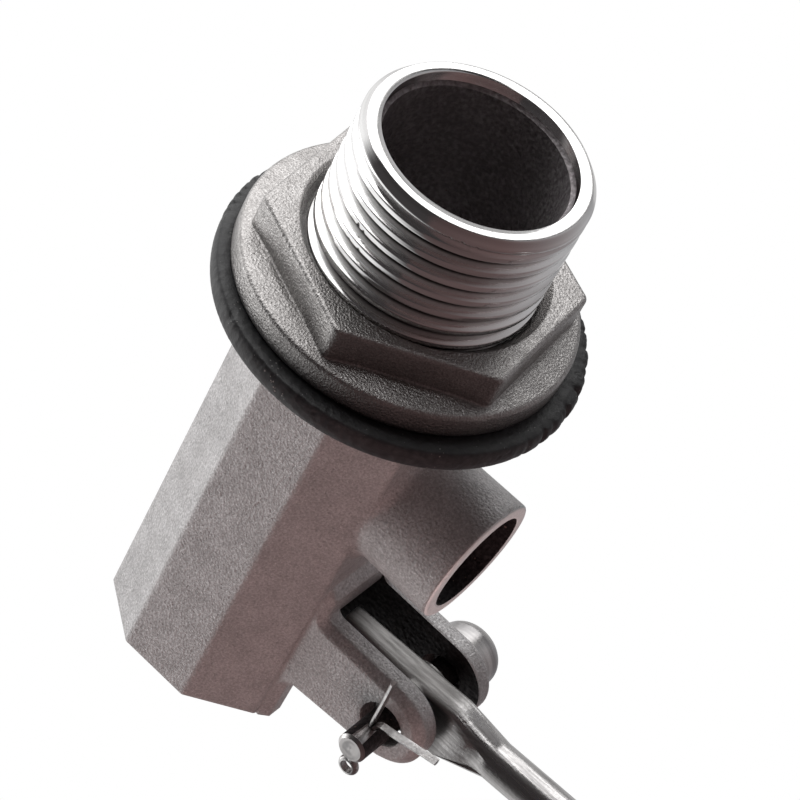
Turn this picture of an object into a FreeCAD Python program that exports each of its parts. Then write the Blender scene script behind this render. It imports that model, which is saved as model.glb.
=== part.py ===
import FreeCAD, Part
import math
import os

V = FreeCAD.Vector

# Frame: the origin is on the thread axis, in the shoulder plane where the wall washer
# seats on the body. +X runs along the axis into the tank, the outlet points to -Z,
# and +Y is the side of the split pin. All lengths are in millimetres.

# Inlet thread and its bore
thread_major_r = 10.4775
shank_length = 20.65
thread_end_r = 9.9
thread_end_chamfer = 0.75
relief_depth = 0.23
relief_lead = 0.6
inlet_bore_r = 8.4
inlet_mouth_r = 8.77
inlet_mouth_depth = 1.6
inlet_bore_end = -1.0

# Octagonal casting
body_length = 45.57
body_half_width = 10.63
body_side_half_height = 3.7
body_half_height = 9.47
body_face_half_width = 6.3
body_edge_fillet = 0.5
body_end_chamfer = 0.35
collar_r = 13.2
collar_thickness = 2.6
collar_edge_chamfer = 0.4
root_sink = 2.0

# Piston chamber and seat nozzle
chamber_r = 6.5
chamber_start = 6.0
nozzle_shank_r = 4.5
nozzle_shank_length = 3.2
nozzle_hole_clearance = 0.04
nozzle_flange_r = 6.2
nozzle_flange_thickness = 1.3
nozzle_bore_r = 2.5
nozzle_entry_r = 3.4
seat_lip_height = 0.9
seat_lip_inner_r = 2.9
seat_lip_outer_r = 3.6
seat_lip_land = 0.24
seat_ring_inner_r = 4.65
seat_ring_outer_r = 6.1
seat_ring_thickness = 1.28
seat_ring_gap = 0.01

# Side outlet
outlet_from_pin = 18.35
outlet_length = 18.2
outlet_root_r = 6.35
outlet_mouth_outer_r = 6.55
outlet_bore_r = 4.5
outlet_socket_depth = 10.0
outlet_port_r = 3.7
outlet_rim_fillet = 0.3
outlet_root_fillet = 1.2

# Clevis ears and the slot for the lever
pin_from_end = 11.27
pin_z = -20.2
ear_end_r = 4.5
ear_root_rear = 5.4
ear_root_fillet = 1.0
ear_thickness = 2.45
slot_half_width = 3.35
slot_front_reach = 4.4
pad_depth = 1.0
pad_front_reach = 7.2
ear_edge_chamfer = 0.8
slot_into_chamber = 2.5

# Clevis pin and split pin
pin_r = 1.5
pin_tail = 4.6
pin_end_chamfer = 0.3
pin_end_play = 1.5
pin_head_r = 3.4
pin_head_height = 2.3
ear_hole_clearance = 0.85
cross_hole_r = 0.5
cross_hole_offset = 1.95
split_wire_r = 0.42
split_wire_gap = 0.02
split_bend_r = 0.5
split_eye_r = 1.08
split_eye_reach = 3.4
split_leg_length = 6.2
split_straight_angle = 3.0
split_bent_angle = 75.0
split_roll = -90.0

# Lock nut and wall washer
washer_thickness = 2.3
washer_r = 16.8
washer_bore_clearance = 0.2
washer_edge_chamfer = 0.3
nut_flange_r = 15.6
nut_flange_thickness = 2.65
nut_cone_height = 0.4
nut_cone_r = 13.4
nut_hex_height = 3.15
nut_across_flats = 25.6
nut_corner_fillet = 0.9
nut_hex_edge_fillet = 0.4
nut_roll = -6.0
nut_bore_clearance = 0.05
nut_mouth_chamfer = 1.0
nut_flange_fillet = 0.45

# Lever: a flattened round rod whose head is a bell crank
rod_r = 2.0
rod_length = 165.0
lever_lean = 4.0
plate_half_thickness = 1.0
plate_half_width = 3.2
plate_top = 9.2
plate_bottom = 4.6
flare_length = 5.0
flare_corner_turn = 20.0
plate_edge_fillet = 0.45
lever_hole_clearance = 0.07
finger_length = 16.5
finger_half_width = 1.7
finger_nose_r = 2.6
finger_angle_open = 26.0
swing_range = 35.0

# Piston with its cap and rubber disc
piston_clearance = 0.05
piston_slot_play = 0.35
piston_slot_side_play = 0.5
piston_slot_roof = 0.5
piston_tail_wall = 2.5
piston_shoulder_chamfer = 0.3
disc_gap_closed = 0.12
disc_face_r = 4.4
disc_back_r = 5.0
disc_face_height = 1.4
disc_back_height = 1.9
disc_proud = 0.4
cap_outer_r = 6.2
cap_length = 6.0
cap_edge_chamfer = 0.4
cap_hole_play = 0.15
piston_part_gap = 0.04
piston_end_chamfer = 0.6
piston_centre_hole_r = 1.5
piston_centre_hole_depth = 2.0

# Float ball on the rod's end
ball_r = 40.0
ball_wall = 0.6
ball_seam_gap = 0.02
backing_ring_width = 8.0
backing_ring_wall = 0.5
backing_ring_gap = 0.04
boss_r = 5.5
boss_height = 7.0
boss_sink = 0.5
boss_edge_chamfer = 0.5
boss_floor = 1.5
rod_nut_across_flats = 7.0
rod_nut_height = 3.2
rod_nut_crown = 0.35
rod_washer_r = 3.8
rod_washer_thickness = 1.0
rod_washer_split = 0.6
rod_hole_clearance = 0.05
rod_end_chamfer = 0.3
rod_end_clearance = 0.5

# Overlap of cutting shapes past the faces they cut, and the reach for picking edges
over = 1.0
near = 0.01

# Values that follow from the driving dimensions
relief_r = thread_major_r - relief_depth
pin_x = body_length - pin_from_end
outlet_x = pin_x - outlet_from_pin
ear_outer = slot_half_width + ear_thickness
ear_hole_r = pin_r + ear_hole_clearance
root_z = -body_half_height + root_sink
pad_z = -(body_half_height + pad_depth)
slot_front = pin_x - slot_front_reach
nut_bottom = -washer_thickness
nut_flange_top = nut_bottom - nut_flange_thickness
nut_hex_base = nut_flange_top - nut_cone_height
nut_top = nut_hex_base - nut_hex_height
nut_bore_r = thread_major_r + nut_bore_clearance
nozzle_flange_start = chamber_start + seat_ring_thickness + 2 * seat_ring_gap
seat_x = nozzle_flange_start + nozzle_flange_thickness + seat_lip_height
piston_r = chamber_r - piston_clearance
finger_angle_closed = finger_angle_open - swing_range
nose_x_open = pin_x + finger_length * math.sin(math.radians(finger_angle_open))
nose_x_closed = pin_x + finger_length * math.sin(math.radians(finger_angle_closed))
piston_travel = nose_x_open - nose_x_closed
disc_face_x = seat_x + disc_gap_closed + piston_travel
cap_start = disc_face_x + disc_proud
cap_end = cap_start + cap_length
piston_slot_half = finger_nose_r + piston_slot_play
piston_end = nose_x_open + piston_slot_half + piston_tail_wall
nose_top_z = pin_z + finger_length + finger_nose_r
boss_face = rod_length + rod_nut_height + rod_washer_thickness
ball_centre = boss_face + boss_height - boss_sink + ball_r


def revolve_about_x(points):
    """Solid of revolution about the X axis from a closed list of (x, radius) points."""
    wire = Part.makePolygon([V(x, r, 0) for x, r in points + points[:1]])
    return Part.Face(wire).revolve(V(0, 0, 0), V(1, 0, 0), 360)


def revolve_about_z(points, centre=(0, 0)):
    """Solid of revolution about a line along Z from a closed list of (radius, z) points."""
    wire = Part.makePolygon([V(r, 0, z) for r, z in points + points[:1]])
    solid = Part.Face(wire).revolve(V(0, 0, 0), V(0, 0, 1), 360)
    return solid.translated(V(centre[0], centre[1], 0))


def cylinder_x(radius, start, end):
    return Part.makeCylinder(radius, end - start, V(start, 0, 0), V(1, 0, 0))


def cylinder_y(radius, start, end, x, z):
    return Part.makeCylinder(radius, end - start, V(x, start, z), V(0, 1, 0))


def box(x0, x1, y0, y1, z0, z1):
    return Part.makeBox(x1 - x0, y1 - y0, z1 - z0, V(x0, y0, z0))


def edges_where(shape, test):
    """Edges whose midpoint and direction pass the given test."""
    chosen = []
    for edge in shape.Edges:
        middle = edge.valueAt((edge.FirstParameter + edge.LastParameter) / 2)
        if test(edge, middle):
            chosen.append(edge)
    return chosen


def extrude_profile(edges, y0, y1):
    """Prism along Y from edges that close a profile in the XZ plane at y = 0."""
    face = Part.Face(Part.Wire(Part.__sortEdges__(edges)))
    return face.translated(V(0, y0, 0)).extrude(V(0, y1 - y0, 0))


def tangent_point(outside, centre, radius, side):
    """Point where a line from an outside point touches a circle in the XZ plane."""
    dx = outside[0] - centre[0]
    dz = outside[1] - centre[1]
    reach = math.hypot(dx, dz)
    angle = math.atan2(dz, dx) + side * math.acos(radius / reach)
    return centre[0] + radius * math.cos(angle), centre[1] + radius * math.sin(angle)


def octagon_prism():
    """The casting's long octagonal block, with softened edges and end."""
    half = [(body_half_width, body_side_half_height), (body_face_half_width, body_half_height)]
    corners = half + [(-y, z) for y, z in reversed(half)]
    corners = corners + [(-y, -z) for y, z in corners]
    wire = Part.makePolygon([V(0, y, z) for y, z in corners + corners[:1]])
    block = Part.Face(wire).extrude(V(body_length, 0, 0))
    long_edges = edges_where(block, lambda e, m: near < m.x < body_length - near)
    block = block.makeFillet(body_edge_fillet, long_edges)
    rear = edges_where(block, lambda e, m: m.x > body_length - near)
    return block.makeChamfer(body_end_chamfer, rear)


def collar():
    """Round collar that backs the rubber washer."""
    disc = cylinder_x(collar_r, 0, collar_thickness)
    rear = edges_where(disc, lambda e, m: m.x > collar_thickness - near)
    return disc.makeChamfer(collar_edge_chamfer, rear)


def threaded_shank():
    """Inlet shank at the thread's major radius, with a lead chamfer and a relief at the root."""
    relief_end = nut_top - relief_lead
    return revolve_about_x([
        (-shank_length, 0),
        (-shank_length, thread_end_r),
        (-shank_length + thread_end_chamfer, thread_major_r),
        (relief_end, thread_major_r),
        (relief_end + relief_depth, relief_r),
        (over, relief_r),
        (over, 0)])


def outlet_tube():
    """Slightly flared spout below the block."""
    return revolve_about_z([
        (0, -outlet_length),
        (outlet_mouth_outer_r, -outlet_length),
        (outlet_root_r, root_z),
        (0, root_z)], (outlet_x, 0))


def rounded_corner(before, corner, after, radius):
    """Arc that rounds a corner of an XZ outline; returns its start, middle and end."""
    to_before = before.sub(corner).normalize()
    to_after = after.sub(corner).normalize()
    half = to_before.getAngle(to_after) / 2
    reach = radius / math.tan(half)
    start = corner.add(V(to_before).multiply(reach))
    end = corner.add(V(to_after).multiply(reach))
    towards = to_before.add(to_after).normalize()
    middle = corner.add(towards.multiply(radius / math.sin(half) - radius))
    return start, middle, end


def clevis_block():
    """Low root pad and both ears as one block: straight front, round end, tapered rear."""
    front = pin_x - ear_end_r
    rear = pin_x + ear_root_rear
    touch = tangent_point((rear, pad_z), (pin_x, pin_z), ear_end_r, -1)
    pad_front = V(pin_x - pad_front_reach, 0, pad_z)
    ramp_top = V(pad_front.x - (root_z - pad_z), 0, root_z)
    ear_top = V(front, 0, pad_z)
    ear_side = V(front, 0, pin_z)
    ear_tip = V(pin_x, 0, pin_z - ear_end_r)
    ear_rear = V(touch[0], 0, touch[1])
    root_rear = V(rear, 0, pad_z)
    pad_rear = V(body_length, 0, pad_z)
    front_arc = rounded_corner(pad_front, ear_top, ear_side, ear_root_fillet)
    rear_arc = rounded_corner(ear_rear, root_rear, pad_rear, ear_root_fillet)
    outline = [
        Part.makeLine(ramp_top, pad_front),
        Part.makeLine(pad_front, front_arc[0]),
        Part.Arc(*front_arc).toShape(),
        Part.makeLine(front_arc[2], ear_side),
        Part.Arc(ear_side, ear_tip, ear_rear).toShape(),
        Part.makeLine(ear_rear, rear_arc[0]),
        Part.Arc(*rear_arc).toShape(),
        Part.makeLine(rear_arc[2], pad_rear),
        Part.makeLine(pad_rear, V(body_length, 0, root_z)),
        Part.makeLine(V(body_length, 0, root_z), ramp_top)]
    block = extrude_profile(outline, -ear_outer, ear_outer)
    rims = edges_where(block, lambda e, m: abs(abs(m.y) - ear_outer) < near
                       and m.z < root_z - near and m.x < body_length - near)
    return block.makeChamfer(ear_edge_chamfer, rims)


def lever_slot():
    """Gap between the ears, and its slot up through the bottom wall, open at the rear."""
    roof = -(chamber_r - slot_into_chamber)
    rear = body_length + over
    through = box(slot_front, rear, -slot_half_width, slot_half_width, pad_z - over, roof)
    gap = box(pin_x - ear_end_r - over, rear, -slot_half_width, slot_half_width,
              pin_z - ear_end_r - over, pad_z)
    return through.fuse(gap)


def water_way():
    """Everything hollow along the axis: mouth, inlet bore, nozzle hole and chamber."""
    hole_r = nozzle_shank_r + nozzle_hole_clearance
    cone_end = inlet_bore_end + (inlet_bore_r - hole_r)
    return revolve_about_x([
        (-shank_length - over, 0),
        (-shank_length - over, inlet_mouth_r),
        (-shank_length + inlet_mouth_depth, inlet_mouth_r),
        (-shank_length + inlet_mouth_depth, inlet_bore_r),
        (inlet_bore_end, inlet_bore_r),
        (cone_end, hole_r),
        (chamber_start, hole_r),
        (chamber_start, chamber_r),
        (body_length + over, chamber_r),
        (body_length + over, 0)])


def spout_bore():
    """Socket from the spout's mouth, and the smaller port from its step to the chamber."""
    step = -outlet_length + outlet_socket_depth
    return revolve_about_z([
        (0, -outlet_length - over),
        (outlet_bore_r, -outlet_length - over),
        (outlet_bore_r, step),
        (outlet_port_r, step),
        (outlet_port_r, 0),
        (0, 0)], (outlet_x, 0))


def valve_body():
    """The casting: block, collar, shank, spout and clevis, bored and slotted."""
    outside = octagon_prism().fuse([clevis_block(), outlet_tube()]).removeSplitter()

    def on_spout_root(edge, middle):
        reach = math.hypot(middle.x - outlet_x, middle.y)
        curved = not isinstance(edge.Curve, Part.Line)
        return curved and reach < body_face_half_width + outlet_root_fillet and middle.z > pin_z / 2

    outside = outside.makeFillet(outlet_root_fillet, edges_where(outside, on_spout_root))
    rim = edges_where(outside, lambda e, m: abs(m.z + outlet_length) < near
                      and math.hypot(m.x - outlet_x, m.y) < outlet_mouth_outer_r + near)
    outside = outside.makeFillet(outlet_rim_fillet, rim)
    outside = outside.fuse([collar(), threaded_shank()]).removeSplitter()
    ear_hole = cylinder_y(ear_hole_r, -ear_outer - over, ear_outer + over, pin_x, pin_z)
    return outside.cut([water_way(), spout_bore(), lever_slot(), ear_hole]).removeSplitter()


def seat_nozzle():
    """Pressed-in orifice with a raised seat lip on its flange."""
    shank_start = chamber_start - nozzle_shank_length
    flange_end = nozzle_flange_start + nozzle_flange_thickness
    lip_middle_r = (seat_lip_outer_r + seat_lip_inner_r) / 2
    return revolve_about_x([
        (shank_start, nozzle_entry_r),
        (shank_start, nozzle_shank_r),
        (nozzle_flange_start, nozzle_shank_r),
        (nozzle_flange_start, nozzle_flange_r),
        (flange_end, nozzle_flange_r),
        (flange_end, seat_lip_outer_r),
        (seat_x, lip_middle_r + seat_lip_land / 2),
        (seat_x, lip_middle_r - seat_lip_land / 2),
        (flange_end, seat_lip_inner_r),
        (flange_end, nozzle_bore_r),
        (shank_start + nozzle_entry_r - nozzle_bore_r, nozzle_bore_r)])


def seat_ring():
    """Flat rubber ring under the nozzle's flange."""
    start = chamber_start + seat_ring_gap
    ring = cylinder_x(seat_ring_outer_r, start, start + seat_ring_thickness)
    return ring.cut(cylinder_x(seat_ring_inner_r, start, start + seat_ring_thickness))


def hex_prism_x(across_flats, start, end, roll):
    """Hexagonal prism along X with a corner at the roll angle from +Y towards +Z."""
    corner = across_flats / 2 / math.cos(math.radians(30))
    angles = [math.radians(roll + 60 * i) for i in range(7)]
    wire = Part.makePolygon([V(start, corner * math.cos(a), corner * math.sin(a)) for a in angles])
    return Part.Face(wire).extrude(V(end - start, 0, 0))


def lock_nut():
    """Cast hex nut in one piece with its round clamping flange."""
    hex_end = nut_flange_top + nut_flange_thickness / 2
    prism = hex_prism_x(nut_across_flats, nut_top, hex_end, nut_roll)
    corners = edges_where(prism, lambda e, m: nut_top + near < m.x < hex_end - near)
    prism = prism.makeFillet(nut_corner_fillet, corners)
    top_edges = edges_where(prism, lambda e, m: m.x < nut_top + near)
    prism = prism.makeFillet(nut_hex_edge_fillet, top_edges)
    flange = revolve_about_x([
        (nut_hex_base, 0),
        (nut_hex_base, nut_cone_r),
        (nut_flange_top, nut_flange_r),
        (nut_bottom, nut_flange_r),
        (nut_bottom, 0)])
    rims = edges_where(flange, lambda e, m: math.hypot(m.y, m.z) > nut_flange_r - near)
    flange = flange.makeFillet(nut_flange_fillet, rims)
    bore = revolve_about_x([
        (nut_top - over, 0),
        (nut_top - over, nut_bore_r + nut_mouth_chamfer + over),
        (nut_top + nut_mouth_chamfer, nut_bore_r),
        (nut_bottom + over, nut_bore_r),
        (nut_bottom + over, 0)])
    return prism.fuse(flange).cut(bore).removeSplitter()


def wall_washer():
    """Flat rubber ring between the body's collar and the nut."""
    ring = cylinder_x(washer_r, -washer_thickness, 0)
    ring = ring.cut(cylinder_x(thread_major_r + washer_bore_clearance, -washer_thickness, 0))
    rims = edges_where(ring, lambda e, m: math.hypot(m.y, m.z) > washer_r - near)
    return ring.makeChamfer(washer_edge_chamfer, rims)


def clevis_pin():
    """Headed pin across the ears, drilled near its tail for the split pin."""
    seat = -ear_outer - pin_end_play
    tail = ear_outer + pin_tail
    crown_r = (pin_head_r ** 2 + pin_head_height ** 2) / (2 * pin_head_height)
    crown_y = seat - pin_head_height + crown_r
    rim_angle = math.asin(pin_head_r / crown_r)
    rim = V(pin_head_r, seat, 0)
    shoulder = V(crown_r * math.sin(rim_angle / 2), crown_y - crown_r * math.cos(rim_angle / 2), 0)
    top = V(0, seat - pin_head_height, 0)
    head_edges = [
        Part.makeLine(V(0, seat, 0), rim),
        Part.Arc(rim, shoulder, top).toShape(),
        Part.makeLine(top, V(0, seat, 0))]
    head = Part.Face(Part.Wire(head_edges)).revolve(V(0, 0, 0), V(0, 1, 0), 360)
    shank = Part.makeCylinder(pin_r, tail - seat, V(0, seat, 0), V(0, 1, 0))
    shank = shank.makeChamfer(pin_end_chamfer, edges_where(shank, lambda e, m: m.y > tail - near))
    cross = Part.makeCylinder(cross_hole_r, 4 * pin_r, V(0, ear_outer + cross_hole_offset, -2 * pin_r))
    pin = head.fuse(shank).cut(cross)
    pin.rotate(V(0, 0, 0), V(0, 1, 0), split_roll)
    return pin.translated(V(pin_x, 0, pin_z)).removeSplitter()


def half_round(flat_x, side, z):
    """Half-round section of the split pin's wire, flat at flat_x and round towards the side."""
    ends = [V(flat_x, -split_wire_r, z), V(flat_x, split_wire_r, z)]
    arc = Part.Arc(ends[0], V(flat_x + side * split_wire_r, 0, z), ends[1]).toShape()
    return Part.Face(Part.Wire([arc, Part.makeLine(ends[1], ends[0])]))


def split_leg(side, angle):
    """One leg: from the eye through the hole, round its bend and straight to its tip."""
    flat_x = side * split_wire_gap
    bend_x = side * (split_wire_gap + split_wire_r + split_bend_r)
    start = -pin_r - split_eye_reach + split_eye_r - split_wire_r / 2
    lean = math.radians(angle)
    through = half_round(flat_x, side, start).extrude(V(0, 0, pin_r - start))
    section = half_round(flat_x, side, pin_r)
    bend = section.revolve(V(bend_x, 0, pin_r), V(0, side, 0), angle)
    section.rotate(V(bend_x, 0, pin_r), V(0, side, 0), angle)
    run = section.extrude(V(side * math.sin(lean), 0, math.cos(lean)).multiply(split_leg_length))
    return through.fuse([bend, run])


def split_pin():
    """Split pin through the clevis pin's tail: round eye behind, legs bent apart in front."""
    eye_z = -pin_r - split_eye_reach
    rim = half_round(split_eye_r - split_wire_r, 1, eye_z)
    eye = rim.revolve(V(0, 0, eye_z), V(0, 1, 0), 360)
    legs = [split_leg(1, split_straight_angle), split_leg(-1, split_bent_angle)]
    pin = eye.fuse(legs).removeSplitter()
    pin.rotate(V(0, 0, 0), V(0, 1, 0), split_roll)
    return pin.translated(V(pin_x, ear_outer + cross_hole_offset, pin_z))


def place_on_lever(shape):
    """Lean a shape drawn along -Z from the pin, and put it at the pin."""
    leaned = shape.copy()
    leaned.rotate(V(0, 0, 0), V(0, 1, 0), lever_lean)
    return leaned.translated(V(pin_x, 0, pin_z))


def rounded_section(half_x, half_y, corner, z):
    """Rounded rectangle of eight edges, which a circle of eight arcs can be lofted to."""
    sx = half_x - corner
    sy = half_y - corner
    edges = []
    for i in range(4):
        turn = math.radians(90 * i)
        cx, cy = ((sx, sy), (-sx, sy), (-sx, -sy), (sx, -sy))[i]
        a, b, c = [V(cx + corner * math.cos(turn + t), cy + corner * math.sin(turn + t), z)
                   for t in (0, math.pi / 4, math.pi / 2)]
        nx, ny = ((-sx, sy), (-sx, -sy), (sx, -sy), (sx, sy))[i]
        d = V(nx + corner * math.cos(turn + math.pi / 2), ny + corner * math.sin(turn + math.pi / 2), z)
        edges.append(Part.Arc(a, b, c).toShape())
        edges.append(Part.makeLine(c, d))
    return Part.Wire(edges)


def round_section(radius, share, z):
    """Circle of eight arcs: four that meet the corners and four that meet the sides."""
    edges = []
    for i in range(4):
        start = math.pi / 2 * i + (math.pi / 4 - share)
        middle = math.pi / 2 * i + math.pi / 4
        end = middle + share
        after = math.pi / 2 * (i + 1) + (math.pi / 4 - share)
        for a, b in ((start, end), (end, after)):
            pts = [V(radius * math.cos(t), radius * math.sin(t), z) for t in (a, (a + b) / 2, b)]
            edges.append(Part.Arc(*pts).toShape())
    return Part.Wire(edges)


def crank_plate():
    """Flattened head of the lever: a straight strip over the pin."""
    strip = box(-plate_half_width, plate_half_width, -plate_half_thickness, plate_half_thickness,
                -plate_bottom, plate_top)
    upright = edges_where(strip, lambda e, m: -plate_bottom + near < m.z < plate_top - near
                          and abs(m.x) > plate_half_width - near)
    return strip.makeFillet(plate_edge_fillet, upright)


def crank_finger():
    """Finger of the crank with its round nose, leaning back from the strip."""
    shaft = box(-finger_half_width, finger_half_width, -plate_half_thickness, plate_half_thickness,
                0, finger_length)
    nose = cylinder_y(finger_nose_r, -plate_half_thickness, plate_half_thickness, 0, finger_length)
    heel = cylinder_y(plate_half_width, -plate_half_thickness, plate_half_thickness, 0, 0)
    finger = shaft.fuse([nose, heel]).removeSplitter()
    finger.rotate(V(0, 0, 0), V(0, 1, 0), finger_angle_open - lever_lean)
    return finger


def float_lever():
    """Lever and rod in one: crank head, flare from flat to round, and the long round rod."""
    corner_share = math.radians(flare_corner_turn)
    flare = Part.makeLoft([
        rounded_section(plate_half_width, plate_half_thickness, plate_edge_fillet, -plate_bottom),
        round_section(rod_r, corner_share, -plate_bottom - flare_length)], True, False)
    rod_start = plate_bottom + flare_length
    rod_end = boss_face + boss_height - boss_floor - rod_end_clearance
    rod = Part.makeCylinder(rod_r, rod_end - rod_start, V(0, 0, -rod_end))
    rod = rod.makeChamfer(rod_end_chamfer, edges_where(rod, lambda e, m: m.z < -rod_end + near))
    eye = cylinder_y(pin_r + lever_hole_clearance, -2 * rod_r, 2 * rod_r, 0, 0)
    lever = crank_plate().fuse([crank_finger(), flare, rod]).cut(eye).removeSplitter()
    return place_on_lever(lever)


def piston():
    """Turned piston with a spigot for its cap and a milled slot for the finger."""
    spigot_start = disc_face_x + disc_face_height + disc_back_height + piston_part_gap
    shoulder = cap_end + piston_part_gap
    spigot_r = disc_back_r - piston_part_gap
    blank = revolve_about_x([
        (spigot_start, 0),
        (spigot_start, spigot_r),
        (shoulder, spigot_r),
        (shoulder, piston_r - piston_shoulder_chamfer),
        (shoulder + piston_shoulder_chamfer, piston_r),
        (piston_end - piston_end_chamfer, piston_r),
        (piston_end, piston_r - piston_end_chamfer),
        (piston_end, piston_centre_hole_r),
        (piston_end - piston_centre_hole_depth, 0)])
    side = plate_half_thickness + piston_slot_side_play
    slot = box(nose_x_open - piston_slot_half, nose_x_open + piston_slot_half, -side, side,
               -chamber_r - over, nose_top_z + piston_slot_roof)
    return blank.cut(slot)


def piston_cap():
    """Cup screwed on the piston's spigot, holding the rubber disc by its rim."""
    lip = disc_face_x + disc_face_height - piston_part_gap
    return revolve_about_x([
        (cap_start, disc_face_r + cap_hole_play),
        (cap_start, cap_outer_r - cap_edge_chamfer),
        (cap_start + cap_edge_chamfer, cap_outer_r),
        (cap_end, cap_outer_r),
        (cap_end, disc_back_r + piston_part_gap),
        (lip, disc_back_r + piston_part_gap),
        (lip, disc_face_r + cap_hole_play)])


def seal_disc():
    """Stepped rubber disc that closes on the seat lip."""
    step = disc_face_x + disc_face_height
    return revolve_about_x([
        (disc_face_x, 0),
        (disc_face_x, disc_face_r),
        (step, disc_face_r),
        (step, disc_back_r),
        (step + disc_back_height, disc_back_r),
        (step + disc_back_height, 0)])


def rod_nut():
    """Hex nut with chamfered corners that locks the float on the rod."""
    corner = rod_nut_across_flats / 2 / math.cos(math.radians(30))
    low = -rod_length - rod_nut_height
    turns = [math.radians(60 * i) for i in range(7)]
    wire = Part.makePolygon([V(corner * math.cos(t), corner * math.sin(t), low) for t in turns])
    prism = Part.Face(wire).extrude(V(0, 0, rod_nut_height))
    crowned = revolve_about_z([
        (0, -rod_length),
        (corner - rod_nut_crown, -rod_length),
        (corner, -rod_length - rod_nut_crown / 2),
        (corner, low + rod_nut_crown / 2),
        (corner - rod_nut_crown, low),
        (0, low)])
    hole = Part.makeCylinder(rod_r + rod_hole_clearance, rod_nut_height, V(0, 0, low))
    return place_on_lever(prism.common(crowned).cut(hole))


def rod_washer():
    """Split spring washer between the nut and the float's boss."""
    low = -rod_length - rod_nut_height - rod_washer_thickness
    ring = Part.makeCylinder(rod_washer_r, rod_washer_thickness, V(0, 0, low))
    hole = Part.makeCylinder(rod_r + rod_hole_clearance, rod_washer_thickness, V(0, 0, low))
    gap = box(0, rod_washer_r + over, -rod_washer_split / 2, rod_washer_split / 2,
              low - over, low + rod_washer_thickness + over)
    return place_on_lever(ring.cut([hole, gap]))


def float_boss():
    """Tapped boss welded on the ball's pole."""
    low = -boss_face - boss_height
    ball = Part.makeSphere(ball_r + ball_seam_gap, V(0, 0, -ball_centre))
    boss = Part.makeCylinder(boss_r, boss_height, V(0, 0, low))
    boss = boss.makeChamfer(boss_edge_chamfer, edges_where(boss, lambda e, m: m.z > -boss_face - near))
    depth = boss_height - boss_floor
    hole = Part.makeCylinder(rod_r + rod_hole_clearance, depth, V(0, 0, low + boss_floor))
    return place_on_lever(boss.cut([hole, ball]))


def float_shell(side):
    """One pressed half of the ball, cut at the welded seam. Side +1 is nearer the rod."""
    centre = V(0, 0, -ball_centre)
    shell = Part.makeSphere(ball_r, centre).cut(Part.makeSphere(ball_r - ball_wall, centre))
    size = 2 * (ball_r + over)
    start = ball_seam_gap / 2 if side > 0 else -ball_seam_gap / 2 - size
    keep = Part.makeBox(size, size, size, V(-size / 2, -size / 2, -ball_centre + start))
    return place_on_lever(shell.common(keep))


def backing_ring():
    """Thin band inside the seam that lines up the two halves for welding."""
    outer = ball_r - ball_wall - backing_ring_gap
    drop = outer - math.sqrt(outer ** 2 - (backing_ring_width / 2) ** 2)
    low = -ball_centre - backing_ring_width / 2
    ring = Part.makeCylinder(outer - drop, backing_ring_width, V(0, 0, low))
    hole = Part.makeCylinder(outer - drop - backing_ring_wall, backing_ring_width, V(0, 0, low))
    return place_on_lever(ring.cut(hole))


parts = {
    "valve_body": valve_body(),
    "seat_nozzle": seat_nozzle(),
    "seat_ring": seat_ring(),
    "lock_nut": lock_nut(),
    "wall_washer": wall_washer(),
    "clevis_pin": clevis_pin(),
    "split_pin": split_pin(),
    "piston": piston(),
    "piston_cap": piston_cap(),
    "seal_disc": seal_disc(),
    "float_lever": float_lever(),
    "rod_nut": rod_nut(),
    "rod_washer": rod_washer(),
    "float_boss": float_boss(),
    "float_shell_upper": float_shell(1),
    "float_shell_lower": float_shell(-1),
    "float_backing_ring": backing_ring()}

os.makedirs("parts", exist_ok=True)
for name, shape in parts.items():
    solid = shape.Solids[0] if len(shape.Solids) == 1 else shape
    solid.exportStep("parts/" + name + ".step")
    print(name, "solids", len(shape.Solids), "valid", shape.isValid(), "volume", round(shape.Volume, 1))
print("piston travel", round(piston_travel, 3), "ratio mm per rad",
      round(piston_travel / math.radians(swing_range), 4))
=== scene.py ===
import math

import bmesh
import bpy
import numpy as np
from mathutils import Matrix, Vector


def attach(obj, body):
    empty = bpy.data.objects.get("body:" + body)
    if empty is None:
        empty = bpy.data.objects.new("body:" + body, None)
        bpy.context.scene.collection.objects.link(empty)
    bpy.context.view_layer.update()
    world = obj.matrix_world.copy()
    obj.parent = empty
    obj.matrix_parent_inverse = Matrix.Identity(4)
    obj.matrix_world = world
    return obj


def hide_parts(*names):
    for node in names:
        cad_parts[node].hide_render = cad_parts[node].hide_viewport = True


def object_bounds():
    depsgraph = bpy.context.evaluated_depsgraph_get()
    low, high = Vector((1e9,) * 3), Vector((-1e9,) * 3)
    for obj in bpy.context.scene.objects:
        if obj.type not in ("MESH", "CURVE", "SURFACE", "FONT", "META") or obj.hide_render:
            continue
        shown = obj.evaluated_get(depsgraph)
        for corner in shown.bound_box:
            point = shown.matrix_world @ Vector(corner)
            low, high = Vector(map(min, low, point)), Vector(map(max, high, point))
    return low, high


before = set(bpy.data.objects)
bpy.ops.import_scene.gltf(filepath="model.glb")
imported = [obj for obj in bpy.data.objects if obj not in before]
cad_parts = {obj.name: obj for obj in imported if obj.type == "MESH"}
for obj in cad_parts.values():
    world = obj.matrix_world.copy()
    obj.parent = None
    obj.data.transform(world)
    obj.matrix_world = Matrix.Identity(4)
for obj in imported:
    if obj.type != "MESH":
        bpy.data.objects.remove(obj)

cad_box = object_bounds()

# All sizes below are in metres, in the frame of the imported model: the thread's axis is X
# and points into the tank, the spout points to -Z and the split pin is on the +Y side.
MM = 0.001

# Points and faces that are this close count as lying in one plane
SAME_PLACE = 0.05 * MM

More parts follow.
